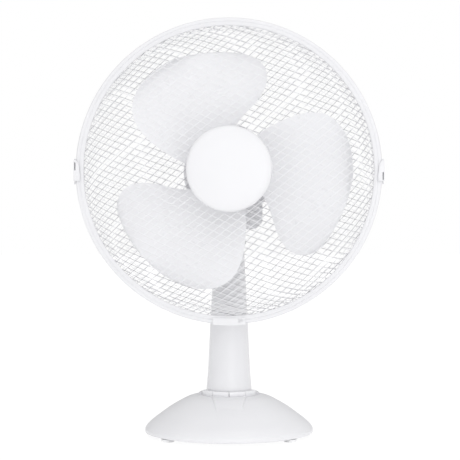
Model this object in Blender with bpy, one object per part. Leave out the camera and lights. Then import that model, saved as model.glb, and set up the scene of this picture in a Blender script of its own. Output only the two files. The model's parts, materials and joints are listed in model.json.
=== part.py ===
"""Desk fan of the 40 cm class: base, column, tilting neck, oscillating head, guard and propeller.

Metres, +Z up. The fan blows towards -Y and stands on z = 0. The origin is the middle of the
footprint of the whole fan's box. Depths along the head are given from the plane of the guard's rim.
"""
import bpy
import bmesh
import math
from mathutils import Matrix, Vector

MM = 0.001

# Places of the main axes
RIM_Y = -0.0560                 # plane of the guard's rim
HEAD_Z = 0.385                  # height of the motor axis
COLUMN_Y = RIM_Y + 0.087        # column axis, which is also the oscillation axis
BASE_Y = RIM_Y + 0.080          # centre of the base
TILT_Z = 0.284                  # height of the tilt bolt

# Driving sizes
GAP = 0.0003                    # working gap between neighbours
BASE_HALF_X = 0.124
BASE_HALF_Y = 0.102
BASE_WALL = 0.0026
FOOT_HEIGHT = 0.004
FOOT_R = 0.0095
FOOT_X, FOOT_Y = 0.087, 0.058   # places of the feet from the base's centre
RIM_R = 0.215
RIM_HALF = 0.011                # half the width of the band round the rim
SHAFT_R = 0.004
COLUMN_TOP = 0.272
COLUMN_WALL = 0.0026
KEY_ANGLE = 35.0                # width of a key round the column
KEY_INNER = 0.0340
KEY_OUTER = 0.0412
KEY_TOP = 0.0680


# ---------------------------------------------------------------- helpers

def clear_scene():
    for item in list(bpy.data.objects):
        bpy.data.objects.remove(item, do_unlink=True)


def material(name, colour, roughness, metallic=0.0):
    mat = bpy.data.materials.get(name)
    if mat is None:
        mat = bpy.data.materials.new(name)
        mat.use_nodes = True
        shader = mat.node_tree.nodes["Principled BSDF"]
        shader.inputs["Base Color"].default_value = (*colour, 1.0)
        shader.inputs["Roughness"].default_value = roughness
        shader.inputs["Metallic"].default_value = metallic
    return mat


def white_plastic():
    return material("white_plastic", (0.80, 0.80, 0.82), 0.35)


def blade_plastic():
    return material("blade_plastic", (0.78, 0.79, 0.82), 0.30)


def grey_plastic():
    return material("grey_plastic", (0.42, 0.42, 0.44), 0.50)


def black_plastic():
    return material("black_plastic", (0.03, 0.03, 0.03), 0.55)


def steel():
    return material("steel", (0.60, 0.60, 0.62), 0.30, 1.0)


def aluminium():
    return material("aluminium", (0.66, 0.67, 0.69), 0.45, 1.0)


def copper():
    return material("copper_winding", (0.55, 0.24, 0.10), 0.40, 0.8)


def iron():
    return material("cast_iron", (0.12, 0.12, 0.13), 0.70, 0.6)


def rubber():
    return material("rubber", (0.70, 0.70, 0.71), 0.80)


def white_wire():
    return material("white_wire", (0.82, 0.82, 0.84), 0.35)


def brass():
    return material("bearing_bronze", (0.60, 0.42, 0.18), 0.35, 1.0)


def new_object(name, bm, mat, smooth_angle=35.0):
    """Store a bmesh as a named object, smooth shaded with sharp edges above the angle."""
    bmesh.ops.remove_doubles(bm, verts=bm.verts, dist=1e-7)
    bmesh.ops.recalc_face_normals(bm, faces=bm.faces)
    mesh = bpy.data.meshes.new(name)
    bm.to_mesh(mesh)
    bm.free()
    mesh.shade_smooth()
    mesh.set_sharp_from_angle(angle=math.radians(smooth_angle))
    item = bpy.data.objects.new(name, mesh)
    bpy.context.scene.collection.objects.link(item)
    item.data.materials.append(mat)
    return item


def place(item, location, rotation=(0.0, 0.0, 0.0)):
    item.location = location
    item.rotation_euler = rotation
    return item


def ring_of(bm, radius_x, radius_y, z, segments, centre=(0.0, 0.0)):
    """A closed ring of vertices, anticlockwise seen from above."""
    verts = []
    for i in range(segments):
        a = 2.0 * math.pi * i / segments
        x = centre[0] + radius_x * math.cos(a)
        y = centre[1] + radius_y * math.sin(a)
        verts.append(bm.verts.new((x, y, z)))
    return verts


def join_rings(bm, lower, upper):
    """Quads between two rings of the same count; they face outwards when upper is above lower."""
    n = len(lower)
    for i in range(n):
        j = (i + 1) % n
        bm.faces.new((lower[i], lower[j], upper[j], upper[i]))


def turned(name, profile, mat, segments=40, axis="Z", closed=False, smooth_angle=35.0):
    """Turn (radius, height) points about Z.

    An open profile starts and ends on the axis with radius 0; a closed one is a ring.
    With axis "Y" heights run along +Y, with axis "X" along +X.
    """
    bm = bmesh.new()
    rings = []
    for radius, height in profile:
        if radius < 1e-9:
            rings.append([bm.verts.new((0.0, 0.0, height))])
        else:
            rings.append(ring_of(bm, radius, radius, height, segments))
    pairs = list(zip(rings[:-1], rings[1:]))
    if closed:
        pairs.append((rings[-1], rings[0]))
    for low, high in pairs:
        if len(low) == 1 and len(high) == 1:
            continue
        if len(low) == 1:
            for i in range(segments):
                bm.faces.new((low[0], high[(i + 1) % segments], high[i]))
        elif len(high) == 1:
            for i in range(segments):
                bm.faces.new((low[i], low[(i + 1) % segments], high[0]))
        else:
            join_rings(bm, low, high)
    if axis == "Y":
        bmesh.ops.rotate(bm, verts=bm.verts, cent=(0, 0, 0), matrix=Matrix.Rotation(-math.pi / 2, 3, "X"))
    if axis == "X":
        bmesh.ops.rotate(bm, verts=bm.verts, cent=(0, 0, 0), matrix=Matrix.Rotation(math.pi / 2, 3, "Y"))
    return new_object(name, bm, mat, smooth_angle)


def box_object(name, low, high, mat, bevel=0.0):
    """A box between two corners, with its edges rounded by the bevel."""
    bm = bmesh.new()
    bmesh.ops.create_cube(bm, size=1.0)
    size = Vector(high) - Vector(low)
    centre = (Vector(high) + Vector(low)) / 2
    bmesh.ops.scale(bm, vec=size, verts=bm.verts)
    bmesh.ops.translate(bm, vec=centre, verts=bm.verts)
    item = new_object(name, bm, mat)
    if bevel > 0.0:
        add_bevel(item, bevel, 2)
    return item


def add_bevel(item, width, segments=2, angle=40.0):
    mod = item.modifiers.new("bevel", "BEVEL")
    mod.width = width
    mod.segments = segments
    mod.limit_method = "ANGLE"
    mod.angle_limit = math.radians(angle)


def extruded(name, outline, depth_low, depth_high, mat, axis="Z", bevel=0.0):
    """Extrude a closed outline of 2-D points, anticlockwise, from one depth to the other.

    axis "Z": points are (x, y). axis "X": points are (y, z). axis "Y": points are (z, x).
    """
    bm = bmesh.new()

    def at(point, depth):
        a, b = point
        if axis == "Z":
            return (a, b, depth)
        if axis == "X":
            return (depth, a, b)
        return (b, depth, a)

    low = [bm.verts.new(at(p, depth_low)) for p in outline]
    high = [bm.verts.new(at(p, depth_high)) for p in outline]
    bm.faces.new(list(reversed(low)))
    bm.faces.new(high)
    join_rings(bm, low, high)
    item = new_object(name, bm, mat)
    if bevel > 0.0:
        add_bevel(item, bevel, 2)
    return item


def cutter(item):
    item.hide_render = True
    item.display_type = "WIRE"
    return item


def combine(item, other, operation):
    """Add an exact boolean; the other object becomes a hidden cutter."""
    cutter(other)
    mod = item.modifiers.new(operation.lower(), "BOOLEAN")
    mod.operation = operation
    mod.solver = "EXACT"
    mod.object = other
    return item


def arc_points(radius, start_deg, end_deg, steps, centre=(0.0, 0.0)):
    points = []
    for i in range(steps + 1):
        a = math.radians(start_deg + (end_deg - start_deg) * i / steps)
        points.append((centre[0] + radius * math.cos(a), centre[1] + radius * math.sin(a)))
    return points


def sector(inner, outer, start_deg, end_deg, steps):
    """Outline of a piece of a flat ring."""
    return arc_points(outer, start_deg, end_deg, steps) + arc_points(inner, end_deg, start_deg, steps)


# ---------------------------------------------------------------- base

BASE_PROFILE = (
    # share of the half width, height
    (0.965, 0.0042),
    (0.998, 0.0062),
    (0.996, 0.0108),
    (0.968, 0.0158),
    (0.912, 0.0224),
    (0.820, 0.0310),
    (0.715, 0.0404),
    (0.600, 0.0490),
    (0.460, 0.0574),
    (0.300, 0.0608),
)
HOUSING_R = 0.0450
HOUSING_BOTTOM = 0.0440
HOUSING_TOP = 0.0616
KEY_WELL_FLOOR = 0.0490
KEY_WELL_WALL = 0.0570          # height of the well's low front wall
KEY_CENTRES = (-55.5, -18.5, 18.5, 55.5)
KEY_BOTTOM = 0.0540
FRONT_DEG = -90.0


def oval_ring(bm, share, z, segments):
    return ring_of(bm, BASE_HALF_X * share, BASE_HALF_Y * share, z, segments)


TONGUE_FRONT = BASE_Y - 0.0680
TONGUE_BACK = COLUMN_Y - 0.0380
TONGUE_HALF_FRONT = 0.0180
TONGUE_HALF_BACK = 0.0258


def make_tongue():
    """Raised tongue in front of the keys: it narrows forwards and dips into the dome."""
    outline = [
        (TONGUE_FRONT, 0.0412),
        (TONGUE_BACK, 0.0560),
        (TONGUE_BACK, 0.0612),
        (BASE_Y - 0.0455, 0.0594),
        (BASE_Y - 0.0550, 0.0543),
        (TONGUE_FRONT, 0.0434),
    ]
    tongue = extruded("add_tongue", outline, -1.0, 1.0, white_plastic(), axis="X")
    for vert in tongue.data.vertices:
        share = (vert.co.y - TONGUE_FRONT) / (TONGUE_BACK - TONGUE_FRONT)
        vert.co.x *= TONGUE_HALF_FRONT + (TONGUE_HALF_BACK - TONGUE_HALF_FRONT) * share
    return tongue


def make_base_shell():
    segments = 36
    bm = bmesh.new()
    rings = [oval_ring(bm, share, z, segments) for share, z in BASE_PROFILE]
    for low, high in zip(rings[:-1], rings[1:]):
        join_rings(bm, low, high)
    bm.faces.new(rings[-1])
    mesh = bpy.data.meshes.new("base_shell")
    bm.to_mesh(mesh)
    bm.free()
    mesh.shade_smooth()
    mesh.set_sharp_from_angle(angle=math.radians(40))
    item = bpy.data.objects.new("base_shell", mesh)
    bpy.context.scene.collection.objects.link(item)
    mesh.materials.append(white_plastic())
    place(item, (0.0, BASE_Y, 0.0))
    wall = item.modifiers.new("wall", "SOLIDIFY")
    wall.thickness = BASE_WALL
    wall.offset = -1.0
    wall.use_even_offset = True
    combine(item, make_tongue(), "UNION")
    well_r = HOUSING_R + GAP
    well = turned("cut_key_well", [(0, 0.040), (well_r, 0.040), (well_r, 0.080), (0, 0.080)], white_plastic(), 28)
    place(well, (0.0, COLUMN_Y, 0.0))
    combine(item, well, "DIFFERENCE")
    inlet = turned("cut_inlet", [(0, -0.03), (0.0063, -0.03), (0.0063, 0.03), (0, 0.03)],
                   white_plastic(), 14, axis="Y")
    place(inlet, (0.0, BASE_Y + BASE_HALF_Y - 0.004, 0.0165))
    combine(item, inlet, "DIFFERENCE")
    return item


def flat_oval(name, share, low, high, mat, segments):
    bm = bmesh.new()
    lower = oval_ring(bm, share, low, segments)
    upper = oval_ring(bm, share, high, segments)
    bm.faces.new(list(reversed(lower)))
    bm.faces.new(upper)
    join_rings(bm, lower, upper)
    return place(new_object(name, bm, mat), (0.0, BASE_Y, 0.0))


def screw_profile(head_r, head_height, shank_r, length):
    """Pan head screw along +Z: head from -head_height to 0, shank from 0 to length."""
    return [(0, -head_height), (head_r * 0.7, -head_height), (head_r, -head_height * 0.45), (head_r, 0),
            (shank_r, 0), (shank_r, length), (0, length)]


def make_base_inside():
    plate = flat_oval("base_plate", 0.925, 0.0042, 0.0062, grey_plastic(), 36)
    flat_oval("ballast_weight", 0.70, 0.0066, 0.0170, iron(), 24)
    for index, (sx, sy) in enumerate(((-1, -1), (1, -1), (1, 1), (-1, 1)), start=1):
        top = FOOT_HEIGHT - GAP
        profile = [(0, 0.0), (FOOT_R - 0.0012, 0.0), (FOOT_R, 0.0012), (FOOT_R, top), (0, top)]
        foot = turned("foot_%d" % index, profile, rubber(), 14)
        place(foot, (sx * FOOT_X, BASE_Y + sy * FOOT_Y, 0.0))
    for index, side in enumerate((-1, 1), start=1):
        spot = (side * 0.101, BASE_Y, 0.0)
        hole = turned("cut_base_screw_%d" % index, [(0, 0), (0.0021, 0), (0.0021, 0.02), (0, 0.02)],
                      grey_plastic(), 10)
        place(hole, spot)
        combine(plate, hole, "DIFFERENCE")
        screw = turned("base_screw_%d" % index, screw_profile(0.0036, 0.0018, 0.0018, 0.0060), steel(), 12)
        place(screw, (spot[0], spot[1], 0.0039))
    bush = turned("cord_inlet",
                  [(0.0036, 0.0), (0.0060, 0.0), (0.0060, 0.0072), (0.0088, 0.0072), (0.0088, 0.0090),
                   (0.0070, 0.0105), (0.0036, 0.0105)],
                  black_plastic(), 16, axis="Y", closed=True)
    place(bush, (0.0, BASE_Y + BASE_HALF_Y - 0.0070, 0.0165))


def key_band(name, inner, outer, half_deg, low, high, centre_deg, mat, steps=4):
    outline = sector(inner, outer, centre_deg - half_deg, centre_deg + half_deg, steps)
    item = extruded(name, outline, low, high, mat)
    return place(item, (0.0, COLUMN_Y, 0.0))


def make_keys():
    housing = turned("key_housing",
                     [(0, HOUSING_BOTTOM), (HOUSING_R, HOUSING_BOTTOM), (HOUSING_R, HOUSING_TOP - 0.0012),
                      (HOUSING_R - 0.0012, HOUSING_TOP), (0, HOUSING_TOP)], white_plastic(), 28)
    place(housing, (0.0, COLUMN_Y, 0.0))
    combine(housing, key_band("cut_key_trough", KEY_INNER - 0.0004, KEY_OUTER + 0.0004, 75.0,
                              KEY_WELL_FLOOR, 0.080, FRONT_DEG, white_plastic(), 14), "DIFFERENCE")
    combine(housing, key_band("cut_low_wall", KEY_OUTER - 0.0010, 0.060, 74.0,
                              KEY_WELL_WALL, 0.080, FRONT_DEG, white_plastic(), 14), "DIFFERENCE")
    stem_r = (KEY_INNER + KEY_OUTER) / 2
    for index, angle in enumerate(KEY_CENTRES):
        a = math.radians(FRONT_DEG + angle)
        spot = (stem_r * math.cos(a), COLUMN_Y + stem_r * math.sin(a), 0.0)
        slot = box_object("cut_stem_%d" % index, (-0.0027, -0.0027, 0.030), (0.0027, 0.0027, 0.052),
                          white_plastic())
        place(slot, spot, (0.0, 0.0, a))
        combine(housing, slot, "DIFFERENCE")
        key = key_band("key_%d" % index, KEY_INNER, KEY_OUTER, KEY_ANGLE / 2, KEY_BOTTOM, KEY_TOP,
                       FRONT_DEG + angle, white_plastic())
        stem = box_object("add_stem_%d" % index, (-0.0023, -0.0023, 0.0405), (0.0023, 0.0023, 0.0560),
                          white_plastic())
        place(stem, spot, (0.0, 0.0, a))
        combine(key, stem, "UNION")
    block = extruded("switch_block", sector(0.0310, 0.0430, FRONT_DEG - 80, FRONT_DEG + 80, 10),
                     0.0240, 0.0360, black_plastic())
    place(block, (0.0, COLUMN_Y, 0.0))


# ---------------------------------------------------------------- column

COLUMN_PROFILE = (
    # height, half width
    (0.0620, 0.0333),
    (0.0940, 0.0309),
    (0.1240, 0.0297),
    (0.1600, 0.0281),
    (0.2130, 0.0253),
    (0.2690, 0.0226),
    (0.2720, 0.0212),
)
COLUMN_DEPTH_SHARE = 0.96


def half_shell(name, start_deg, end_deg, mat):
    """Half of the tapered column: a C-shaped section lofted up the profile."""
    bm = bmesh.new()
    steps = 11
    loops = []
    for z, half in COLUMN_PROFILE:
        section = []
        for radius, first, last in ((half, start_deg, end_deg), (half - COLUMN_WALL, end_deg, start_deg)):
            for i in range(steps + 1):
                a = math.radians(first + (last - first) * i / steps)
                section.append(bm.verts.new((radius * math.cos(a),
                                             radius * math.sin(a) * COLUMN_DEPTH_SHARE, z)))
        loops.append(section)
    for low, high in zip(loops[:-1], loops[1:]):
        join_rings(bm, low, high)
    count = 2 * (steps + 1)
    for section in (loops[0], loops[-1]):
        for i in range(steps):
            bm.faces.new((section[i], section[i + 1], section[count - 2 - i], section[count - 1 - i]))
    return place(new_object(name, bm, mat), (0.0, COLUMN_Y, 0.0))


def make_column():
    seam = 0.5
    half_shell("column_front", 180.0 + seam, 360.0 - seam, white_plastic())
    rear = half_shell("column_rear", seam, 180.0 - seam, white_plastic())
    for index, (z, half) in enumerate(((0.100, 0.0306), (0.236, 0.0242)), start=1):
        surface = half * COLUMN_DEPTH_SHARE
        hole = turned("cut_column_screw_%d" % index, [(0, -0.01), (0.0022, -0.01), (0.0022, 0.01), (0, 0.01)],
                      white_plastic(), 12, axis="Y")
        place(hole, (0.0, COLUMN_Y + surface, z))
        combine(rear, hole, "DIFFERENCE")
        screw = turned("column_screw_%d" % index, screw_profile(0.0036, 0.0020, 0.0018, 0.012), steel(), 12,
                       axis="Y")
        place(screw, (0.0, COLUMN_Y + surface + 0.0008, z), (math.pi, 0.0, 0.0))


# ---------------------------------------------------------------- tilt joint

def cylinder(name, radius, low, high, mat, segments=24, axis="Z"):
    return turned(name, [(0, low), (radius, low), (radius, high), (0, high)], mat, segments, axis)


def make_tilt():
    yoke = cylinder("tilt_yoke", 0.0216, COLUMN_TOP + GAP, COLUMN_TOP + 0.0026, grey_plastic(), 24)
    place(yoke, (0.0, COLUMN_Y, 0.0))
    plug = cylinder("add_yoke_plug", 0.0172, COLUMN_TOP - 0.014, COLUMN_TOP + 0.0010, grey_plastic(), 20)
    combine(yoke, place(plug, (0.0, COLUMN_Y, 0.0)), "UNION")
    ear_r = 0.0088
    for side in (-1, 1):
        outline = [(-ear_r, COLUMN_TOP + 0.0010)]
        outline += [(ear_r, COLUMN_TOP + 0.0010)]
        outline += [(p[0], TILT_Z + p[1]) for p in arc_points(ear_r, 0, 180, 8)]
        low = 0.0138 if side > 0 else -0.0192
        ear = extruded("add_ear_%s" % ("right" if side > 0 else "left"), outline, low, low + 0.0054,
                       grey_plastic(), axis="X")
        combine(yoke, place(ear, (0.0, COLUMN_Y, 0.0)), "UNION")
    bore = cylinder("cut_yoke_bore", 0.0034, -0.03, 0.03, grey_plastic(), 14, axis="X")
    combine(yoke, place(bore, (0.0, COLUMN_Y, TILT_Z)), "DIFFERENCE")
    bolt = turned("tilt_bolt", [(0, -0.0232), (0.0046, -0.0232), (0.0062, -0.0218), (0.0062, -0.0196),
                                (0.0029, -0.0196), (0.0029, 0.0250), (0, 0.0250)], steel(), 14, axis="X")
    place(bolt, (0.0, COLUMN_Y, TILT_Z))
    hexagon = arc_points(0.0062, 0, 300, 5)
    nut = extruded("tilt_nut", hexagon, 0.0196, 0.0238, steel(), axis="X")
    place(nut, (0.0, COLUMN_Y, TILT_Z))
    nut_bore = cylinder("cut_nut_bore", 0.0033, 0.0, 0.03, steel(), 14, axis="X")
    combine(nut, place(nut_bore, (0.0, COLUMN_Y, TILT_Z)), "DIFFERENCE")


NECK_DISC_LOW = 0.2968
NECK_TOP = 0.3026
PIN_R = 0.0040
ANCHOR = (0.0140, 0.0)          # fixed end of the oscillation link, from the oscillation axis
CRANK_BACK = 0.0280             # crank axis behind the oscillation axis
CRANK_THROW = 0.0090
LINK_LOW = 0.3072
LINK_HIGH = 0.3090
HEAD_BOTTOM = 0.3031
KNOB_BACK = 0.1280              # pull knob behind the rim plane


def make_neck():
    neck = turned("neck", [(0, NECK_DISC_LOW), (0.0215, NECK_DISC_LOW), (0.0230, NECK_DISC_LOW + 0.0015),
                           (0.0230, NECK_TOP), (0, NECK_TOP)], grey_plastic(), 24)
    place(neck, (0.0, COLUMN_Y, 0.0))
    outline = [(p[0], TILT_Z + p[1]) for p in arc_points(0.0082, 180, 360, 8)]
    outline += [(0.0082, NECK_DISC_LOW + 0.0010), (-0.0082, NECK_DISC_LOW + 0.0010)]
    knuckle = extruded("add_knuckle", outline, -0.0134, 0.0134, grey_plastic(), axis="X")
    combine(neck, place(knuckle, (0.0, COLUMN_Y, 0.0)), "UNION")
    anchor = cylinder("add_anchor_pin", 0.0020, NECK_TOP - 0.001, LINK_HIGH + 0.0004, grey_plastic(), 12)
    combine(neck, place(anchor, (ANCHOR[0], COLUMN_Y + ANCHOR[1], 0.0)), "UNION")
    bore = cylinder("cut_neck_bore", 0.0034, -0.03, 0.03, grey_plastic(), 14, axis="X")
    combine(neck, place(bore, (0.0, COLUMN_Y, TILT_Z)), "DIFFERENCE")
    socket = cylinder("cut_neck_socket", PIN_R + GAP, 0.2900, 0.3200, grey_plastic(), 18)
    combine(neck, place(socket, (0.0, COLUMN_Y, 0.0)), "DIFFERENCE")


# ---------------------------------------------------------------- head: covers, motor, gearbox

def head_turned(name, profile, mat, segments=40, closed=True, smooth_angle=35.0):
    """Turn (radius, depth behind the rim plane) about the motor axis."""
    item = turned(name, profile, mat, segments, axis="Y", closed=closed, smooth_angle=smooth_angle)
    return place(item, (0.0, RIM_Y, HEAD_Z))


def mm(points):
    return [(a * MM, b * MM) for a, b in points]


CHIN_HALF, CHIN_TOP, CHIN_CHAMFER, CHIN_WALL = 0.049, 0.346, 0.010, 0.0025
CHIN_FRONT, CHIN_BACK = 0.060, 0.136


def chin_outline(inset):
    """Section (z, x) of the box under the motor, with chamfered lower corners."""
    half = CHIN_HALF - inset
    cut = CHIN_CHAMFER - inset * 0.4
    low = HEAD_BOTTOM + inset
    top = CHIN_TOP + inset
    side = [(low, half - cut), (low + cut, half), (top, half)]
    return [(z, -x) for z, x in side] + side[::-1]


def make_covers():
    outer = mm([(66, 57.5), (66, 118), (63.5, 136), (55, 152), (38, 163.5), (0, 168)])
    inner = mm([(0, 165.4), (37, 161), (53, 150.3), (61.1, 135.2), (63.5, 118), (63.5, 57.5)])
    cover = head_turned("motor_cover", outer + inner, white_plastic(), 30)
    hole = box_object("cut_cover_floor", (-0.0080, 0.080, 0.300), (0.0080, 0.1235, 0.340), white_plastic())
    combine(cover, place(hole, (0.0, RIM_Y, 0.0)), "DIFFERENCE")
    knob_hole = cylinder("cut_knob_hole", 0.0037, 0.420, 0.470, white_plastic(), 16)
    combine(cover, place(knob_hole, (0.0, RIM_Y + KNOB_BACK, 0.0)), "DIFFERENCE")
    for index in range(-2, 3):
        height = index * 0.0100
        half = 0.026 - 0.0030 * abs(index)
        vent = box_object("cut_vent_%d" % (index + 2), (-half, 0.150, HEAD_Z + height - 0.0014),
                          (half, 0.180, HEAD_Z + height + 0.0014), white_plastic())
        combine(cover, place(vent, (0.0, RIM_Y, 0.0)), "DIFFERENCE")

    front_profile = [(8, 42), (20, 42), (20, 54), (65, 54), (66, 55), (66, 57.2), (8, 57.2)]
    head_turned("motor_front_cover", mm(front_profile), grey_plastic(), 28)

    chin = extruded("lower_head_cover", chin_outline(0.0), CHIN_FRONT, CHIN_BACK, grey_plastic(), axis="Y")
    place(chin, (0.0, RIM_Y, 0.0))
    hollow = extruded("cut_chin_hollow", chin_outline(CHIN_WALL), CHIN_FRONT + CHIN_WALL,
                      CHIN_BACK - CHIN_WALL, grey_plastic(), axis="Y")
    combine(chin, place(hollow, (0.0, RIM_Y, 0.0)), "DIFFERENCE")
    barrel = head_turned("cut_chin_barrel", mm([(0, 40), (66.4, 40), (66.4, 150), (0, 150)]), grey_plastic(),
                         48, closed=False)
    combine(chin, barrel, "DIFFERENCE")
    floor_hole = cylinder("cut_chin_floor", 0.0190, 0.290, 0.310, grey_plastic(), 24)
    combine(chin, place(floor_hole, (0.0, COLUMN_Y, 0.0)), "DIFFERENCE")


def make_motor():
    front_bell_profile = [(4.6, 59), (46, 59), (46, 73), (43.5, 73), (43.5, 61.2), (4.6, 61.2)]
    head_turned("motor_front_bell", mm(front_bell_profile), aluminium(), 24)
    rear_bell_profile = [(43.5, 97), (46, 97), (46, 111), (4.6, 111), (4.6, 108.8), (43.5, 108.8)]
    head_turned("motor_rear_bell", mm(rear_bell_profile), aluminium(), 24)
    head_turned("stator_core", mm([(22.2, 73.3), (46, 73.3), (46, 96.7), (22.2, 96.7)]), steel(), 24)
    for name, low, high in (("winding_front", 63.8, 73.0), ("winding_rear", 97.0, 106.2)):
        head_turned(name, mm([(25, low), (40.5, low), (40.5, high), (25, high)]), copper(), 20)
    for name, low in (("bearing_front", 61.5), ("bearing_rear", 100.5)):
        head_turned(name, mm([(4.3, low), (9, low), (9, low + 8), (4.3, low + 8)]), brass(), 16)
    gear_outline = mm([(79, 326), (128, 326), (128, 340), (146, 340), (146, 398), (112, 398), (112, 334),
                       (79, 334)])
    gearbox = extruded("gearbox", gear_outline, -0.019, 0.019, grey_plastic(), axis="X")
    place(gearbox, (0.0, RIM_Y, 0.0))
    box_object("capacitor", (0.0235, RIM_Y + 0.113, 0.372), (0.0425, RIM_Y + 0.143, 0.402), black_plastic(),
               0.0015)
    pin = cylinder("oscillation_pin", PIN_R, 0.2906, 0.3257, steel(), 18)
    place(pin, (0.0, COLUMN_Y, 0.0))


def make_oscillation():
    knob = turned("oscillation_knob",
                  mm([(0, 398.4), (3, 398.4), (3, 454), (7.4, 455), (9, 462), (7.6, 467), (0, 468.8)]),
                  white_plastic(), 18)
    place(knob, (0.0, RIM_Y + KNOB_BACK, 0.0))

    crank = turned("crank_disc", mm([(0, 311.2), (13, 311.2), (13, 314), (3.5, 314), (3.5, 325.7),
                                     (0, 325.7)]), steel(), 24)
    crank_spot = (0.0, COLUMN_Y + CRANK_BACK, 0.0)
    place(crank, crank_spot)
    stub = cylinder("add_crank_pin", 0.0020, LINK_HIGH + 0.0005, 0.3125, steel(), 14)
    combine(crank, place(stub, (CRANK_THROW, crank_spot[1], 0.0)), "UNION")

    reach = Vector((CRANK_THROW - ANCHOR[0], CRANK_BACK - ANCHOR[1]))
    turn = math.degrees(math.atan2(reach.y, reach.x))
    end_r = 0.0042
    outline = arc_points(end_r, turn + 90, turn + 270, 7)
    outline += arc_points(end_r, turn - 90, turn + 90, 7, (reach.x, reach.y))
    link = extruded("link_rod", outline, LINK_LOW, LINK_HIGH, steel())
    link_spot = (ANCHOR[0], COLUMN_Y + ANCHOR[1], 0.0)
    place(link, link_spot)
    eye = cylinder("cut_link_eye", 0.0024, 0.300, 0.315, steel(), 14)
    combine(link, place(eye, link_spot), "DIFFERENCE")


# ---------------------------------------------------------------- guard

def wire_dome(name, stations, segments, mat):
    """Coarse open wire guard: a turned grid of (radius, depth) stations made into wires."""
    bm = bmesh.new()
    rings = [ring_of(bm, r, r, t, segments) for r, t in stations]
    for low, high in zip(rings[:-1], rings[1:]):
        join_rings(bm, low, high)
    bmesh.ops.rotate(bm, verts=bm.verts, cent=(0, 0, 0), matrix=Matrix.Rotation(-math.pi / 2, 3, "X"))
    mesh = bpy.data.meshes.new(name)
    bm.to_mesh(mesh)
    bm.free()
    mesh.shade_smooth()
    item = bpy.data.objects.new(name, mesh)
    bpy.context.scene.collection.objects.link(item)
    mesh.materials.append(mat)
    wires = item.modifiers.new("wires", "WIREFRAME")
    wires.thickness = 0.0022
    wires.use_even_offset = True
    wires.use_boundary = True
    wires.use_replace = True
    return place(item, (0.0, RIM_Y, HEAD_Z))


def edge_ring(name, depth, mat):
    wire_r = 2.5
    points = []
    for i in range(6):
        a = 2 * math.pi * i / 6
        points.append((208.5 + wire_r * math.cos(a), depth + wire_r * math.sin(a)))
    return head_turned(name, mm(points), mat, 36)


def make_guard():
    front = mm([(28.5, -57), (92, -57), (150, -54.5), (188, -36), (202.3, -9.5)])
    rear = mm([(31.5, 50), (95, 50), (150, 48), (188, 31), (202.3, 9.5)])
    wire_dome("front_guard", front, 18, white_wire())
    wire_dome("rear_guard", rear, 18, white_wire())
    edge_ring("front_edge_ring", -5.2, white_wire())
    edge_ring("rear_edge_ring", 5.2, white_wire())
    head_turned("rim_band", mm([(205, -11), (212.5, -11), (215, -8.5), (215, 8.5), (212.5, 11), (205, 11),
                                (205, 8.7), (212.1, 8.7), (212.1, -8.7), (205, -8.7)]), white_plastic(), 54)
    disc_profile = [(0, -73.6), (32, -72.8), (54, -70.6), (58.5, -67.0), (58.5, -58.4), (0, -58.4)]
    head_turned("centre_disc", mm(disc_profile), white_plastic(), 32, closed=False)
    head_turned("rear_centre_plate", mm([(20.4, 51.4), (54, 51.4), (54, 53.6), (20.4, 53.6)]), white_wire(), 24)
    nut_profile = [(20.4, 43.6), (26, 43.6), (28.5, 46), (28.5, 51.0), (20.4, 51.0)]
    head_turned("guard_nut", mm(nut_profile), white_plastic(), 20)


LOCK_INNER, LOCK_OUTER = 0.2062, 0.2172
LOCK_HALF_DEG = 6.2
LOCK_FRONT, LOCK_BACK = -0.0130, 0.0142
LOCK_SCREW_R = 0.2117
LOCK_NOTCH = ((-0.2009, 0.0132), (-0.2126, 0.0132), (-0.2100, 0.0197))


def make_rim_lock():
    """Clamp that follows the rim at its lowest point, open to the motor axis, with its screw behind."""

    def rim_sector(name, inner, outer, half_deg, front, back):
        outline = sector(inner, outer, -half_deg, half_deg, 6)
        item = extruded(name, [(-a, b) for a, b in outline], front, back, white_plastic(), axis="Y")
        return place(item, (0.0, RIM_Y, HEAD_Z))

    lock = rim_sector("rim_lock", LOCK_INNER, LOCK_OUTER, LOCK_HALF_DEG, LOCK_FRONT, LOCK_BACK)
    channel = rim_sector("cut_lock_channel", 0.2000, RIM_R + GAP, 9.0, -RIM_HALF - GAP, RIM_HALF + GAP)
    combine(lock, channel, "DIFFERENCE")
    notch = extruded("cut_lock_notch", LOCK_NOTCH, -0.030, 0.0, white_plastic(), axis="Y")
    combine(lock, place(notch, (0.0, RIM_Y, HEAD_Z)), "DIFFERENCE")
    screw_z = HEAD_Z - LOCK_SCREW_R
    hole = cylinder("cut_lock_hole", 0.0021, 0.0, 0.020, white_plastic(), 14, axis="Y")
    combine(lock, place(hole, (0.0, RIM_Y, screw_z)), "DIFFERENCE")
    screw = turned("rim_lock_screw", screw_profile(0.0034, 0.0018, 0.0018, 0.0026), steel(), 12, axis="Y")
    place(screw, (0.0, RIM_Y + LOCK_BACK + GAP, screw_z), (math.pi, 0.0, 0.0))


CLIP_PIVOT = (0.2176, 0.0130)   # out from the motor axis, behind the rim plane


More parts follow.
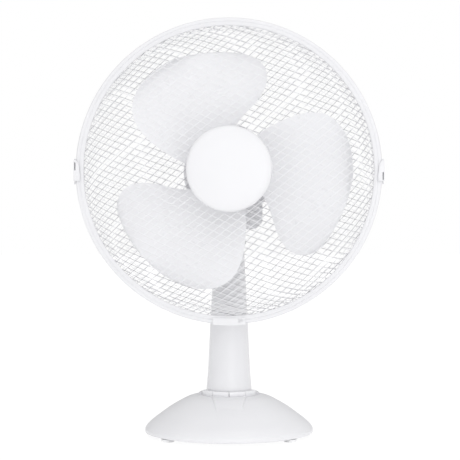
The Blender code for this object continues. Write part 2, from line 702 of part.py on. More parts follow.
def make_clip(side_name, side):
    """A flip latch over the rim with its hinge bracket; side is 1 on +X and -1 on -X."""
    px, py = CLIP_PIVOT
    outline = mm([(208, -13.6), (217.4, -13.6), (217.4, 10.6), (219.2, 10.6)])
    outline += [(px + p[0], py + p[1]) for p in arc_points(0.0028, -55, 215, 8)]
    outline += mm([(215.6, -11.6), (208, -11.6)])
    clip = extruded("rim_clip_" + side_name, [(side * x, y) for x, y in outline][::side], -0.0145, 0.0145,
                    white_plastic())
    place(clip, (0.0, RIM_Y, HEAD_Z))
    eye = cylinder("cut_clip_eye_" + side_name, 0.0018, -0.02, 0.02, white_plastic(), 14)
    combine(clip, place(eye, (side * px, RIM_Y + py, HEAD_Z)), "DIFFERENCE")

    def side_box(name, x_low, x_high, z_low, z_high):
        xs = sorted((side * x_low, side * x_high))
        item = box_object(name, (xs[0], 0.0113, z_low), (xs[1], 0.0147, z_high), white_plastic())
        return place(item, (0.0, RIM_Y, HEAD_Z))

    bracket = side_box("clip_bracket_" + side_name, 0.2065, 0.2136, -0.0180, 0.0180)
    for end, z_low in (("low", -0.0180), ("high", 0.0150)):
        ear = side_box("add_clip_ear_%s_%s" % (side_name, end), 0.2100, 0.2198, z_low, z_low + 0.0030)
        combine(bracket, ear, "UNION")
    pin = cylinder("add_clip_pin_" + side_name, 0.0014, -0.0170, 0.0170, white_plastic(), 12)
    combine(bracket, place(pin, (side * px, RIM_Y + py, HEAD_Z)), "UNION")


# ---------------------------------------------------------------- rotor and propeller

BLADE_EDGES = (
    # radius, leading edge angle, trailing edge angle (degrees, anticlockwise from +X seen from the front)
    (0.0317, 97.0, 178.0),
    (0.0560, 86.5, 172.8),
    (0.0837, 75.5, 166.5),
    (0.1046, 69.5, 162.2),
    (0.1256, 67.0, 158.0),
    (0.1430, 67.6, 153.8),
    (0.1560, 70.2, 148.8),
    (0.1650, 74.4, 142.4),
    (0.1700, 80.0, 134.0),
    (0.1720, 91.0, 119.0),
)
BLADE_COUNT = 3
BLADE_THICKNESS = 0.0020


def blade_depth(radius, share):
    """Depth of the blade's middle surface; share runs from the leading edge 0 to the trailing edge 1."""
    reach = 0.021 + 0.010 * min(1.0, radius / 0.150)
    camber = 0.006 * math.sin(math.pi * share)
    return reach * (1.0 - 2.0 * share) + camber


def add_blade(name, turn_deg, columns=7):
    """One blade. Its twisted faces are split along the same diagonal in front and behind."""
    bm = bmesh.new()
    sheets = []
    for offset in (-BLADE_THICKNESS / 2, BLADE_THICKNESS / 2):
        rows = []
        for radius, lead, trail in BLADE_EDGES:
            row = []
            for i in range(columns):
                share = i / (columns - 1)
                a = math.radians(lead + (trail - lead) * share + turn_deg)
                edge = 0.35 if i in (0, columns - 1) or radius > 0.1718 else 1.0
                row.append(bm.verts.new((radius * math.cos(a), blade_depth(radius, share) + offset * edge,
                                         radius * math.sin(a))))
            rows.append(row)
        sheets.append(rows)
    front, back = sheets
    last_row = len(front) - 1
    for r in range(last_row):
        for c in range(columns - 1):
            for sheet in sheets:
                near, far = sheet[r], sheet[r + 1]
                bm.faces.new((near[c], near[c + 1], far[c + 1]))
                bm.faces.new((near[c], far[c + 1], far[c]))
        for c in (0, columns - 1):
            bm.faces.new((front[r][c], front[r + 1][c], back[r + 1][c], back[r][c]))
    for r in (0, last_row):
        for c in range(columns - 1):
            bm.faces.new((front[r][c], front[r][c + 1], back[r][c + 1], back[r][c]))
    return place(new_object(name, bm, blade_plastic()), (0.0, RIM_Y, HEAD_Z))


def make_rotor():
    hub_profile = [(4.3, -33), (24, -33), (30, -30), (33, -25), (33, 25), (30.5, 25), (30.5, -23),
                   (27, -27), (9, -29), (9, 12), (4.3, 12)]
    propeller = head_turned("propeller", mm(hub_profile), blade_plastic(), 27)
    for index in range(BLADE_COUNT):
        blade = add_blade("add_blade_%d" % (index + 1), index * 360.0 / BLADE_COUNT)
        combine(propeller, blade, "UNION")

    shaft = cylinder("motor_shaft", SHAFT_R, -0.0400, 0.1117, steel(), 16, axis="Y")
    place(shaft, (0.0, RIM_Y, HEAD_Z))
    pin_depth = 0.0142
    cross = cylinder("cut_shaft_cross", 0.0017, -0.02, 0.02, steel(), 12, axis="X")
    combine(shaft, place(cross, (0.0, RIM_Y + pin_depth, HEAD_Z)), "DIFFERENCE")
    pin = cylinder("drive_pin", 0.0014, -0.0095, 0.0095, steel(), 12, axis="X")
    place(pin, (0.0, RIM_Y + pin_depth, HEAD_Z))
    head_turned("rotor_core", mm([(4.3, 71), (21.6, 71), (21.6, 99), (4.3, 99)]), steel(), 20)
    spinner_profile = [(0, -50), (10, -48), (15, -43), (16.5, -33.4), (4.5, -33.4), (4.5, -41), (0, -41)]
    head_turned("spinner_nut", mm(spinner_profile), black_plastic(), 20, closed=False)


def main():
    clear_scene()
    make_base_shell()
    make_base_inside()
    make_keys()
    make_column()
    make_tilt()
    make_neck()
    make_covers()
    make_motor()
    make_oscillation()
    make_guard()
    make_rim_lock()
    make_clip("right", 1)
    make_clip("left", -1)
    make_rotor()


main()
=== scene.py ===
"""Looks of the desk fan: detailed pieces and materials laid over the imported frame.

Metres, +Z up; the fan blows towards -Y. Depths on the head are counted back from the guard's rim plane.
Profiles that go through mm() or head_turned() are in millimetres.
"""
import bisect
import json
import math

import bmesh
import bpy
from mathutils import Matrix, Vector


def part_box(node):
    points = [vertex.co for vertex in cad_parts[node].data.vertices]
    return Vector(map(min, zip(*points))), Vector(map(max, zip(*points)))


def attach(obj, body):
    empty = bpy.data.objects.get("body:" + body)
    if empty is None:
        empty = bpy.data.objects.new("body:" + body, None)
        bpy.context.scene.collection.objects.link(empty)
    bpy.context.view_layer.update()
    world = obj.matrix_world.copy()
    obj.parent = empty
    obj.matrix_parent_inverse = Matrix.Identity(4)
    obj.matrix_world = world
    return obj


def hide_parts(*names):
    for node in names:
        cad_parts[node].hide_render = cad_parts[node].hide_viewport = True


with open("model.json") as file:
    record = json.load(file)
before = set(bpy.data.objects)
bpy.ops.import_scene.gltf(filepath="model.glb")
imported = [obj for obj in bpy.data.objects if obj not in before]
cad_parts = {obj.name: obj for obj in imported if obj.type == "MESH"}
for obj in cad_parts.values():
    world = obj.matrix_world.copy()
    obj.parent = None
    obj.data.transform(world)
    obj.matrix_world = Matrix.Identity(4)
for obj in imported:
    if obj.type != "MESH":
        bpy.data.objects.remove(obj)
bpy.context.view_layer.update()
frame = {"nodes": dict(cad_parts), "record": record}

MM = 0.001
NOISE_LOW, NOISE_HIGH = 0.3, 0.7  # range a noise value is stretched from
SHARP_DEG = 35.0  # corners above this angle are rounded


def middle(node):
    low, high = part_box(node)
    return (low + high) / 2


RIM_Y = middle("rim_band").y
HEAD_Z = middle("rim_band").z
COLUMN_Y = middle("neck").y
BASE_Y = middle("base_plate").y
FRONT_DEG = -90.0


# ---------------------------------------------------------------- materials

def shader_of(name):
    mat = bpy.data.materials.new(name)
    mat.use_nodes = True
    tree = mat.node_tree
    return mat, tree, tree.nodes["Principled BSDF"]


def add(tree, kind, **values):
    node = tree.nodes.new(kind)
    for key, value in values.items():
        if key in node.inputs:
            node.inputs[key].default_value = value
        else:
            setattr(node, key, value)
    return node


def noise(tree, coords, scale, detail=2.0, stretch=None):
    """Noise over the object's own coordinates; stretch scales each axis before the noise."""
    source = coords.outputs["Object"]
    if stretch:
        mapping = add(tree, "ShaderNodeMapping")
        mapping.inputs["Scale"].default_value = stretch
        tree.links.new(source, mapping.inputs["Vector"])
        source = mapping.outputs["Vector"]
    node = add(tree, "ShaderNodeTexNoise", Scale=scale, Detail=detail)
    tree.links.new(source, node.inputs["Vector"])
    return node.outputs["Fac"]


def spread(tree, value, low, high):
    """Map a noise value onto the range low to high."""
    node = add(tree, "ShaderNodeMapRange")
    node.inputs["From Min"].default_value = NOISE_LOW
    node.inputs["From Max"].default_value = NOISE_HIGH
    node.inputs["To Min"].default_value = low
    node.inputs["To Max"].default_value = high
    tree.links.new(value, node.inputs["Value"])
    return node.outputs["Result"]


def two_colours(tree, value, first, second):
    ramp = add(tree, "ShaderNodeValToRGB")
    ramp.color_ramp.elements[0].position = NOISE_LOW
    ramp.color_ramp.elements[0].color = (*first, 1.0)
    ramp.color_ramp.elements[1].position = NOISE_HIGH
    ramp.color_ramp.elements[1].color = (*second, 1.0)
    tree.links.new(value, ramp.inputs["Fac"])
    return ramp.outputs["Color"]


def bump(tree, shader, height, strength, distance):
    node = add(tree, "ShaderNodeBump", Strength=strength, Distance=distance)
    tree.links.new(height, node.inputs["Height"])
    tree.links.new(node.outputs["Normal"], shader.inputs["Normal"])


def moulded(name, colour, roughness, grain=1500.0, depth=0.00004, shift=0.02, coat=0.0):
    """Injection-moulded plastic: faint cloudiness, uneven gloss and a fine moulding grain."""
    mat, tree, shader = shader_of(name)
    coords = add(tree, "ShaderNodeTexCoord")
    cloud = noise(tree, coords, 14.0, 3.0)
    darker = tuple(c * (1.0 - shift) for c in colour)
    tree.links.new(two_colours(tree, cloud, darker, colour), shader.inputs["Base Color"])
    sheen = noise(tree, coords, 60.0, 4.0)
    tree.links.new(spread(tree, sheen, roughness - 0.04, roughness + 0.05), shader.inputs["Roughness"])
    bump(tree, shader, noise(tree, coords, grain, 2.0), 0.25, depth)
    shader.inputs["IOR"].default_value = 1.49
    shader.inputs["Coat Weight"].default_value = coat
    shader.inputs["Coat Roughness"].default_value = 0.12
    return mat


def turned_metal(name, colour, roughness, stretch):
    """Bare metal with machining marks along one direction."""
    mat, tree, shader = shader_of(name)
    coords = add(tree, "ShaderNodeTexCoord")
    marks = noise(tree, coords, 220.0, 4.0, stretch)
    darker = tuple(c * 0.82 for c in colour)
    tree.links.new(two_colours(tree, marks, darker, colour), shader.inputs["Base Color"])
    tree.links.new(spread(tree, marks, roughness - 0.07, roughness + 0.08), shader.inputs["Roughness"])
    bump(tree, shader, marks, 0.2, 0.00003)
    shader.inputs["Metallic"].default_value = 1.0
    return mat


def banded(name, first, second, scale, direction, roughness, metallic):
    """Fine parallel bands: enamelled copper turns or stacked steel sheets."""
    mat, tree, shader = shader_of(name)
    coords = add(tree, "ShaderNodeTexCoord")
    wave = add(tree, "ShaderNodeTexWave", Scale=scale, Distortion=0.6, Detail=1.0)
    wave.bands_direction = direction
    tree.links.new(coords.outputs["Object"], wave.inputs["Vector"])
    tree.links.new(two_colours(tree, wave.outputs["Fac"], first, second), shader.inputs["Base Color"])
    tree.links.new(spread(tree, noise(tree, coords, 90.0), roughness - 0.05, roughness + 0.07),
                   shader.inputs["Roughness"])
    bump(tree, shader, wave.outputs["Fac"], 0.5, 0.0002)
    shader.inputs["Metallic"].default_value = metallic
    return mat


def rough_cast(name, colour, roughness, metallic, scale, depth, shade=0.7):
    """Grainy surface, such as an iron casting or moulded rubber."""
    mat, tree, shader = shader_of(name)
    coords = add(tree, "ShaderNodeTexCoord")
    lumps = noise(tree, coords, scale, 6.0)
    darker = tuple(c * shade for c in colour)
    tree.links.new(two_colours(tree, lumps, darker, colour), shader.inputs["Base Color"])
    tree.links.new(spread(tree, lumps, roughness - 0.1, roughness + 0.1), shader.inputs["Roughness"])
    bump(tree, shader, lumps, 0.6, depth)
    shader.inputs["Metallic"].default_value = metallic
    return mat


SLOTS = {
    "white_plastic": moulded("white_plastic", (0.80, 0.80, 0.82), 0.36, coat=0.2),
    "blade_plastic": moulded("blade_plastic", (0.89, 0.89, 0.91), 0.30, grain=900.0, coat=0.2),
    "grey_plastic": moulded("grey_plastic", (0.86, 0.86, 0.88), 0.50, depth=0.00008, shift=0.05),
    "black_plastic": moulded("black_plastic", (0.025, 0.025, 0.027), 0.55, depth=0.00008, shift=0.2),
    "white_wire": moulded("white_wire", (0.87, 0.87, 0.89), 0.34, grain=2600.0, coat=0.2),
    "steel": turned_metal("steel", (0.62, 0.62, 0.64), 0.30, (1.0, 8.0, 1.0)),
    "aluminium": turned_metal("aluminium", (0.70, 0.71, 0.73), 0.42, (1.0, 4.0, 1.0)),
    "bearing_bronze": turned_metal("bearing_bronze", (0.55, 0.36, 0.16), 0.38, (1.0, 6.0, 1.0)),
    "copper_winding": banded("copper_winding", (0.42, 0.14, 0.05), (0.70, 0.30, 0.12), 420.0, "Y", 0.32, 0.7),
    "cast_iron": rough_cast("cast_iron", (0.10, 0.10, 0.11), 0.70, 0.6, 300.0, 0.0003),
    # The feet are light rubber; their colour is raised further as painted light, lifting them out of the
    # shadow under the base.
    "rubber": rough_cast("rubber", (0.90, 0.90, 0.91), 0.75, 0.0, 900.0, 0.0001, 0.95),
}
# Same white-coated wire as the front guard, darkened: painted shade for the rear mesh lying in the shadow of
# the propeller and motor.
REAR_WIRE_PAINTED_SHADE = moulded("rear_wire_painted_shade", (0.62, 0.62, 0.64), 0.38, grain=2600.0, coat=0.2)
LAMINATED = banded("laminated_steel", (0.20, 0.20, 0.21), (0.48, 0.48, 0.50), 700.0, "Y", 0.40, 0.9)

for subpart in frame["record"]["subparts"]:
    node = frame["nodes"][subpart["node"]]
    for slot in node.material_slots:
        slot.material = SLOTS[subpart["material_slot"]]
for name in ("stator_core", "rotor_core"):
    frame["nodes"][name].material_slots[0].material = LAMINATED


# ---------------------------------------------------------------- building helpers

def raw_object(name, bm, smooth_deg=40.0):
    bmesh.ops.remove_doubles(bm, verts=bm.verts, dist=1e-7)
    bmesh.ops.recalc_face_normals(bm, faces=bm.faces)
    mesh = bpy.data.meshes.new(name)
    bm.to_mesh(mesh)
    bm.free()
    mesh.shade_smooth()
    mesh.set_sharp_from_angle(angle=math.radians(smooth_deg))
    item = bpy.data.objects.new(name, mesh)
    bpy.context.scene.collection.objects.link(item)
    return item


def combine(item, tool, operation="DIFFERENCE"):
    mod = item.modifiers.new(operation.lower(), "BOOLEAN")
    mod.operation = operation
    mod.solver = "EXACT"
    mod.object = tool
    tool.hide_render = True


def round_edges(item, width, segments=2):
    mod = item.modifiers.new("round", "BEVEL")
    mod.width = width
    mod.segments = segments
    mod.limit_method = "ANGLE"
    mod.angle_limit = math.radians(SHARP_DEG)
    mod.use_clamp_overlap = True


def settle(item, smooth_deg=40.0):
    """Turn the modifiers into plain mesh and drop the tools they used."""
    bpy.context.view_layer.update()
    graph = bpy.context.evaluated_depsgraph_get()
    mesh = bpy.data.meshes.new_from_object(item.evaluated_get(graph), depsgraph=graph)
    tools = [m.object for m in item.modifiers if m.type == "BOOLEAN"]
    item.modifiers.clear()
    item.data = mesh
    mesh.transform(item.matrix_basis)
    item.matrix_basis = Matrix.Identity(4)
    mesh.shade_smooth()
    mesh.set_sharp_from_angle(angle=math.radians(smooth_deg))
    for tool in tools:
        bpy.data.objects.remove(tool)
    return item


def finished(item, slot, body, *replaced):
    """Give a piece its finish, its body and the CAD nodes it stands for."""
    item.data.materials.clear()
    item.data.materials.append(SLOTS[slot])
    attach(item, body)
    if replaced:
        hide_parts(*replaced)
    return item


def smooth_line(points, steps):
    """Catmull-Rom curve through tuples of numbers, with the given steps per stretch."""
    ends = [tuple(2 * a - b for a, b in zip(points[0], points[1]))]
    ends += list(points)
    ends.append(tuple(2 * a - b for a, b in zip(points[-1], points[-2])))
    line = []
    for i in range(1, len(ends) - 2):
        for k in range(steps):
            u = k / steps
            line.append(tuple(
                0.5 * (2 * b + (c - a) * u + (2 * a - 5 * b + 4 * c - d) * u * u
                       + (3 * b - a - 3 * c + d) * u ** 3)
                for a, b, c, d in zip(*ends[i - 1:i + 3])))
    line.append(tuple(points[-1]))
    return line


def filleted(points, radius, steps):
    """A closed outline with every corner rounded, as far as its neighbours allow."""
    rounded = []
    count = len(points)
    for i, point in enumerate(points):
        here = Vector(point)
        before = Vector(points[i - 1]) - here
        after = Vector(points[(i + 1) % count]) - here
        cut = min(radius, before.length * 0.45, after.length * 0.45)
        start = here + before.normalized() * cut
        stop = here + after.normalized() * cut
        for k in range(steps + 1):
            u = k / steps
            rounded.append(tuple(start * (1 - u) ** 2 + here * 2 * u * (1 - u) + stop * u * u))
    return rounded


def turned(name, profile, segments=128, axis="Z", closed=False, centre=(0.0, 0.0, 0.0), smooth_deg=40.0):
    """Turn (radius, height) points about the Z or Y axis; a closed profile is a ring."""
    bm = bmesh.new()
    rings = []
    for radius, height in profile:
        if radius < 1e-9:
            rings.append([bm.verts.new((0.0, 0.0, height))])
            continue
        rings.append([bm.verts.new((radius * math.cos(2 * math.pi * i / segments),
                                    radius * math.sin(2 * math.pi * i / segments), height))
                      for i in range(segments)])
    pairs = list(zip(rings[:-1], rings[1:]))
    if closed:
        pairs.append((rings[-1], rings[0]))
    for low, high in pairs:
        if len(low) == len(high) == 1:
            continue
        for i in range(segments):
            j = (i + 1) % segments
            corners = [low[i % len(low)], low[j % len(low)], high[j % len(high)], high[i % len(high)]]
            bm.faces.new(list(dict.fromkeys(corners)))
    if axis == "Y":
        bmesh.ops.rotate(bm, verts=bm.verts, cent=(0, 0, 0), matrix=Matrix.Rotation(-math.pi / 2, 3, "X"))
    bmesh.ops.translate(bm, verts=bm.verts, vec=centre)
    return raw_object(name, bm, smooth_deg)


def rod(name, radius, low, high, axis, centre, segments=32):
    return turned(name, [(0, low), (radius, low), (radius, high), (0, high)], segments, axis, False, centre)


def mm(points):
    return [(a * MM, b * MM) for a, b in points]


def head_turned(name, profile, segments=128, closed=True, smooth_deg=40.0):
    """Turn (radius, depth) points in millimetres about the motor axis."""
    return turned(name, mm(profile), segments, "Y", closed, (0.0, RIM_Y, HEAD_Z), smooth_deg)


def extruded(name, outline, low, high, axis="Z", centre=(0.0, 0.0, 0.0)):
    """Extrude a closed outline. axis Z: points (x, y); axis X: points (y, z); axis Y: points (z, x)."""
    order = {"Z": (0, 1, 2), "X": (2, 0, 1), "Y": (1, 2, 0)}[axis]

    def at(point, depth):
        values = (*point, depth)
        return Vector(values[k] for k in order) + Vector(centre)

    bm = bmesh.new()
    lower = [bm.verts.new(at(p, low)) for p in outline]
    upper = [bm.verts.new(at(p, high)) for p in outline]
    bm.faces.new(list(reversed(lower)))
    bm.faces.new(upper)
    for i in range(len(outline)):
        j = (i + 1) % len(outline)
        bm.faces.new((lower[i], lower[j], upper[j], upper[i]))
    return raw_object(name, bm)


def block(name, low, high):
    outline = [(low[0], low[1]), (high[0], low[1]), (high[0], high[1]), (low[0], high[1])]
    return extruded(name, outline, low[2], high[2])


def arc(radius, start_deg, stop_deg, steps, centre=(0.0, 0.0)):
    points = []
    for i in range(steps + 1):
        a = math.radians(start_deg + (stop_deg - start_deg) * i / steps)
        points.append((centre[0] + radius * math.cos(a), centre[1] + radius * math.sin(a)))
    return points


def sector(inner, outer, start_deg, stop_deg, steps):
    return arc(outer, start_deg, stop_deg, steps) + arc(inner, stop_deg, start_deg, steps)


class Tubes:
    """Collects many thin tubes into one mesh."""

    def __init__(self):
        self.verts = []
        self.faces = []

    def add(self, points, radius, sides):
        first = len(self.verts)
        normal = None
        for i, point in enumerate(points):
            tangent = (points[min(i + 1, len(points) - 1)] - points[max(i - 1, 0)]).normalized()
            normal = tangent.orthogonal() if normal is None else normal - tangent * normal.dot(tangent)
            normal.normalize()
            side = tangent.cross(normal)
            for k in range(sides):
                a = 2 * math.pi * k / sides
                self.verts.append(point + normal * (radius * math.cos(a)) + side * (radius * math.sin(a)))
        for i in range(len(points) - 1):
            base = first + i * sides
            for k in range(sides):
                j = (k + 1) % sides
                self.faces.append((base + k, base + j, base + sides + j, base + sides + k))
        self.faces.append(tuple(first + k for k in reversed(range(sides))))
        last = first + (len(points) - 1) * sides
        self.faces.append(tuple(last + k for k in range(sides)))

    def made(self, name):
        mesh = bpy.data.meshes.new(name)
        mesh.from_pydata(self.verts, [], self.faces)
        mesh.shade_smooth()
        mesh.set_sharp_from_angle(angle=math.radians(75))
        item = bpy.data.objects.new(name, mesh)
        bpy.context.scene.collection.objects.link(item)
        return item


# ---------------------------------------------------------------- guard

WIRE_R, WIRE_SIDES = 0.00048, 5
MESH_PITCH = 0.0091


def dome(stations):
    """Arc length, radius and depth along a guard's section, from the axis out."""
    line = smooth_line(mm(stations), 24)
    lengths = [0.0]
    for a, b in zip(line[:-1], line[1:]):
        lengths.append(lengths[-1] + math.dist(a, b))
    return lengths, line


def on_dome(section, u, v, lift):
    """Lay the flat sheet's point (u, v) on the dome, lifted off it along its outward normal."""
    lengths, line = section
    reach = math.hypot(u, v)
    i = min(max(bisect.bisect_right(lengths, reach) - 1, 0), len(line) - 2)
    share = (reach - lengths[i]) / (lengths[i + 1] - lengths[i])
    (r0, t0), (r1, t1) = line[i], line[i + 1]
    radius, depth = r0 + (r1 - r0) * share, t0 + (t1 - t0) * share
    away = Vector((t1 - t0, r0 - r1)).normalized()
    if away.x < 0.0:
        away.negate()
    radius += away.x * lift
    depth += away.y * lift
    return Vector((u / reach * radius, RIM_Y + depth, HEAD_Z + v / reach * radius))


def sheet_lines(angle_deg, inner, outer, pitch, phase):
    """Parallel lines over a flat ring, each as its points (u, v)."""
    a = math.radians(angle_deg)
    along, across = Vector((math.cos(a), math.sin(a))), Vector((-math.sin(a), math.cos(a)))
    count = int(outer / pitch) + 1
    step = 0.006
    for k in range(-count, count + 1):
        off = (k + phase) * pitch
        if abs(off) >= outer - 0.002:
            continue
        far = math.sqrt(outer ** 2 - off ** 2)
        stretches = [(-far, far)]
        if abs(off) < inner:
            near = math.sqrt(inner ** 2 - off ** 2)
            stretches = [(-far, -near), (near, far)]
        for start, stop in stretches:
            n = max(2, round((stop - start) / step))
            yield [across * off + along * (start + (stop - start) * i / n) for i in range(n + 1)]


def wire_mesh(stations, angles, inner, lifts):
    """A diamond mesh of two crossing wire families drawn over a dome."""
    section = dome(stations)
    outer = section[0][-1]
    tubes = Tubes()
    for angle_deg, lift, phase in zip(angles, lifts, (0.2, 0.6)):
        for line in sheet_lines(angle_deg, inner, outer, MESH_PITCH, phase):
            tubes.add([on_dome(section, p.x, p.y, lift) for p in line], WIRE_R, WIRE_SIDES)
    return tubes


# radius, depth
FRONT_STATIONS = [(0.1, -57.5), (60, -57.4), (110, -57), (150, -54.5), (176, -45.5), (191.5, -30),
                  (199.6, -14.5), (202.6, -7.6), (206.5, -4.8)]
REAR_STATIONS = [(0.1, 50.5), (60, 50.4), (110, 50), (150, 48), (176, 39.5), (192, 26.5), (202.3, 11),
                 (206.5, 6.4)]
FRONT_WIRE_DEG, REAR_WIRE_DEG = (38.5, -25.5), (44.0, -19.5)
FRONT_MESH_START, REAR_MESH_START = 0.0285, 0.0315
CROSSING_LIFT = 0.0005

front = wire_mesh(FRONT_STATIONS, FRONT_WIRE_DEG, FRONT_MESH_START, (CROSSING_LIFT, -CROSSING_LIFT))
finished(front.made("front_mesh"), "white_wire", "head", "front_guard")
rear = wire_mesh(REAR_STATIONS, REAR_WIRE_DEG, REAR_MESH_START, (-CROSSING_LIFT, CROSSING_LIFT))
rear_mesh = finished(rear.made("rear_mesh"), "white_wire", "head", "rear_guard")
# The rear mesh takes the darkened wire copy: painted shade.
rear_mesh.material_slots[0].material = REAR_WIRE_PAINTED_SHADE

EDGE_RING_R, EDGE_RING_DEPTH, EDGE_WIRE_R = 208.5, 5.2, 2.5  # millimetres
for side_name, depth in (("front", -EDGE_RING_DEPTH), ("rear", EDGE_RING_DEPTH)):
    ring = head_turned(side_name + "_edge_wire", arc(EDGE_WIRE_R, 0, 330, 11, (EDGE_RING_R, depth)), 160)
    finished(ring, "white_wire", "head", side_name + "_edge_ring")

rim_front = [(214.5, -0.5), (215.0, -1.0), (215.0, -8.0), (214.6, -9.4), (213.6, -10.5), (212.0, -11.0),
             (209.9, -11.0), (209.5, -10.5), (209.0, -10.5), (208.6, -11.0), (204.4, -11.0), (203.6, -10.7),
             (203.3, -10.1), (203.4, -9.3), (204.0, -8.9), (212.1, -8.7)]
rim_rear = [(212.1, 8.7), (207.6, 8.8), (207.0, 9.3), (207.0, 10.4), (207.6, 11.0), (212.0, 11.0),
            (213.6, 10.5), (214.6, 9.4), (215.0, 8.0), (215.0, 1.0), (214.5, 0.5)]
finished(head_turned("guard_rim", rim_front + rim_rear, 180, smooth_deg=30.0), "white_plastic", "head",
         "rim_band")

disc_profile = [(0, -73.6), (12, -73.5), (26, -73.15), (40, -72.3), (50, -71.3), (54.0, -70.5), (56.2, -69.5),
                (57.6, -68.2), (58.3, -66.6), (58.5, -65.0), (58.5, -59.2), (58.2, -58.4), (0, -58.4)]
finished(head_turned("centre_badge", disc_profile, 128, closed=False), "white_plastic", "head", "centre_disc")

plate_profile = filleted([(20.4, 51.4), (54, 51.4), (54, 53.6), (20.4, 53.6)], 0.8, 3)
finished(head_turned("rear_plate", plate_profile, 96), "white_wire", "head", "rear_centre_plate")

nut_profile = filleted([(20.4, 43.6), (26, 43.6), (28.5, 46), (28.5, 51.0), (20.4, 51.0)], 0.7, 3)
nut = head_turned("guard_locknut", nut_profile, 96)
NUT_FLUTES, FLUTE_CIRCLE_R, FLUTE_R = 12, 0.0295, 0.0022
for i in range(NUT_FLUTES):
    a = 2 * math.pi * (i + 0.03) / NUT_FLUTES
    flute = rod("flute", FLUTE_R, 0.043, 0.052, "Y",
                (FLUTE_CIRCLE_R * math.cos(a), RIM_Y, HEAD_Z + FLUTE_CIRCLE_R * math.sin(a)), 12)
    combine(nut, flute)
finished(settle(nut), "white_plastic", "head", "guard_nut")


# ---------------------------------------------------------------- rim clips and lock

PIVOT_R, PIVOT_BACK = 0.2176, 0.0130
CLIP_SECTION = (
    # distance from the motor axis, depth
    (208, -13.6), (217.4, -13.6), (217.4, 10.3), (220.2, 11.4), (220.4, 14.2), (217.6, 15.8), (214.9, 14.4),
    (215.6, -11.6), (208, -11.6),
)
CLIP_FACE = (
    # height above the motor axis, distance from it
    (-14.5, 206), (-14.5, 222), (11.5, 222), (14.2, 217), (14.4, 213.6), (10.5, 210.8), (4, 209.2),
    (-4, 208.8), (-9, 206),
)
CLIP_HALF_HEIGHT = 0.0145
CLIP_HOLE_R = 0.0018
SLOT_HALF_HEIGHT = 0.0055
GRIP_HEIGHTS = (-0.0080, -0.0047, -0.0014, 0.0019, 0.0052)
GRIP_HALF_HEIGHT = 0.0008


def rim_clip(side_name, side, slot_z):
    """Lever over the rim: a face with a curved edge, a slot beside the rim and a short hinge barrel."""
    outline = filleted(mm(CLIP_SECTION), 0.0011, 3)
    clip = extruded("clip_" + side_name, [(side * x, y) for x, y in outline][::side], -CLIP_HALF_HEIGHT,
                    CLIP_HALF_HEIGHT, centre=(0.0, RIM_Y, HEAD_Z))

    def cut(name, x_low, x_high, y_low, y_high, z_low, z_high):
        """Take away a box given by its distances outwards, depths and heights."""
        left, right = sorted((side * x_low, side * x_high))
        low, high = (left, RIM_Y + y_low, HEAD_Z + z_low), (right, RIM_Y + y_high, HEAD_Z + z_high)
        combine(clip, block(name, low, high))

    face = [(z, side * x) for z, x in filleted(mm(CLIP_FACE), 0.0040, 5)]
    combine(clip, extruded("clip_face", face, -0.030, 0.030, "Y", (0.0, RIM_Y, HEAD_Z)), "INTERSECT")
    pivot = (side * PIVOT_R, RIM_Y + PIVOT_BACK, HEAD_Z)
    combine(clip, rod("clip_eye", CLIP_HOLE_R, -0.02, 0.02, "Z", pivot, 24))
    cut("barrel_end", 0.2174, 0.2230, 0.0095, 0.0180, -0.0012, 0.0160)
    cut("side_slot", 0.2146, 0.2162, -0.0150, 0.0090, slot_z - SLOT_HALF_HEIGHT, slot_z + SLOT_HALF_HEIGHT)
    for z in GRIP_HEIGHTS:
        cut("grip_groove", 0.2169, 0.2190, -0.0105, 0.0045, z - GRIP_HALF_HEIGHT, z + GRIP_HALF_HEIGHT)
    round_edges(clip, 0.0004)
    finished(settle(clip), "white_plastic", "clip_" + side_name, "rim_clip_" + side_name)


rim_clip("right", 1, -0.0077)
rim_clip("left", -1, 0.0058)

RIM_R, RIM_HALF = 0.215, 0.011
LOCK_INNER, LOCK_OUTER = 0.2062, 0.2165
LOCK_HALF_DEG, CHANNEL_HALF_DEG = 6.2, 9.0
LOCK_FRONT, LOCK_BACK = -0.0126, 0.0142
LOCK_HOLE_R = 0.0021
LOCK_NOTCH = ((-0.2009, 0.0132), (-0.2126, 0.0132), (-0.2100, 0.0197))
GAP = 0.0003


def rim_sector(name, inner, outer, half_deg, front, back, steps, corner):
    """Piece of a flat ring round the motor axis, centred on the rim's lowest point."""
    outline = [(-a, b) for a, b in sector(inner, outer, -half_deg, half_deg, steps)]
    return extruded(name, filleted(outline, corner, 3), front, back, "Y", (0.0, RIM_Y, HEAD_Z))


lock = rim_sector("rim_lock_body", LOCK_INNER, LOCK_OUTER, LOCK_HALF_DEG, LOCK_FRONT, LOCK_BACK, 12, 0.0010)
combine(lock, rim_sector("lock_channel", 0.2000, RIM_R + GAP, CHANNEL_HALF_DEG, -RIM_HALF - GAP,
                         RIM_HALF + GAP, 17, 0.0))
combine(lock, extruded("lock_notch", LOCK_NOTCH, -0.030, 0.0, "Y", (0.0, RIM_Y, HEAD_Z)))
lock_screw = middle("rim_lock_screw")
combine(lock, rod("lock_hole", LOCK_HOLE_R, 0.0, 0.020, "Y", (0.0, RIM_Y, lock_screw.z)))
round_edges(lock, 0.0005, 3)
finished(settle(lock), "white_plastic", "head", "rim_lock")


# ---------------------------------------------------------------- motor housing

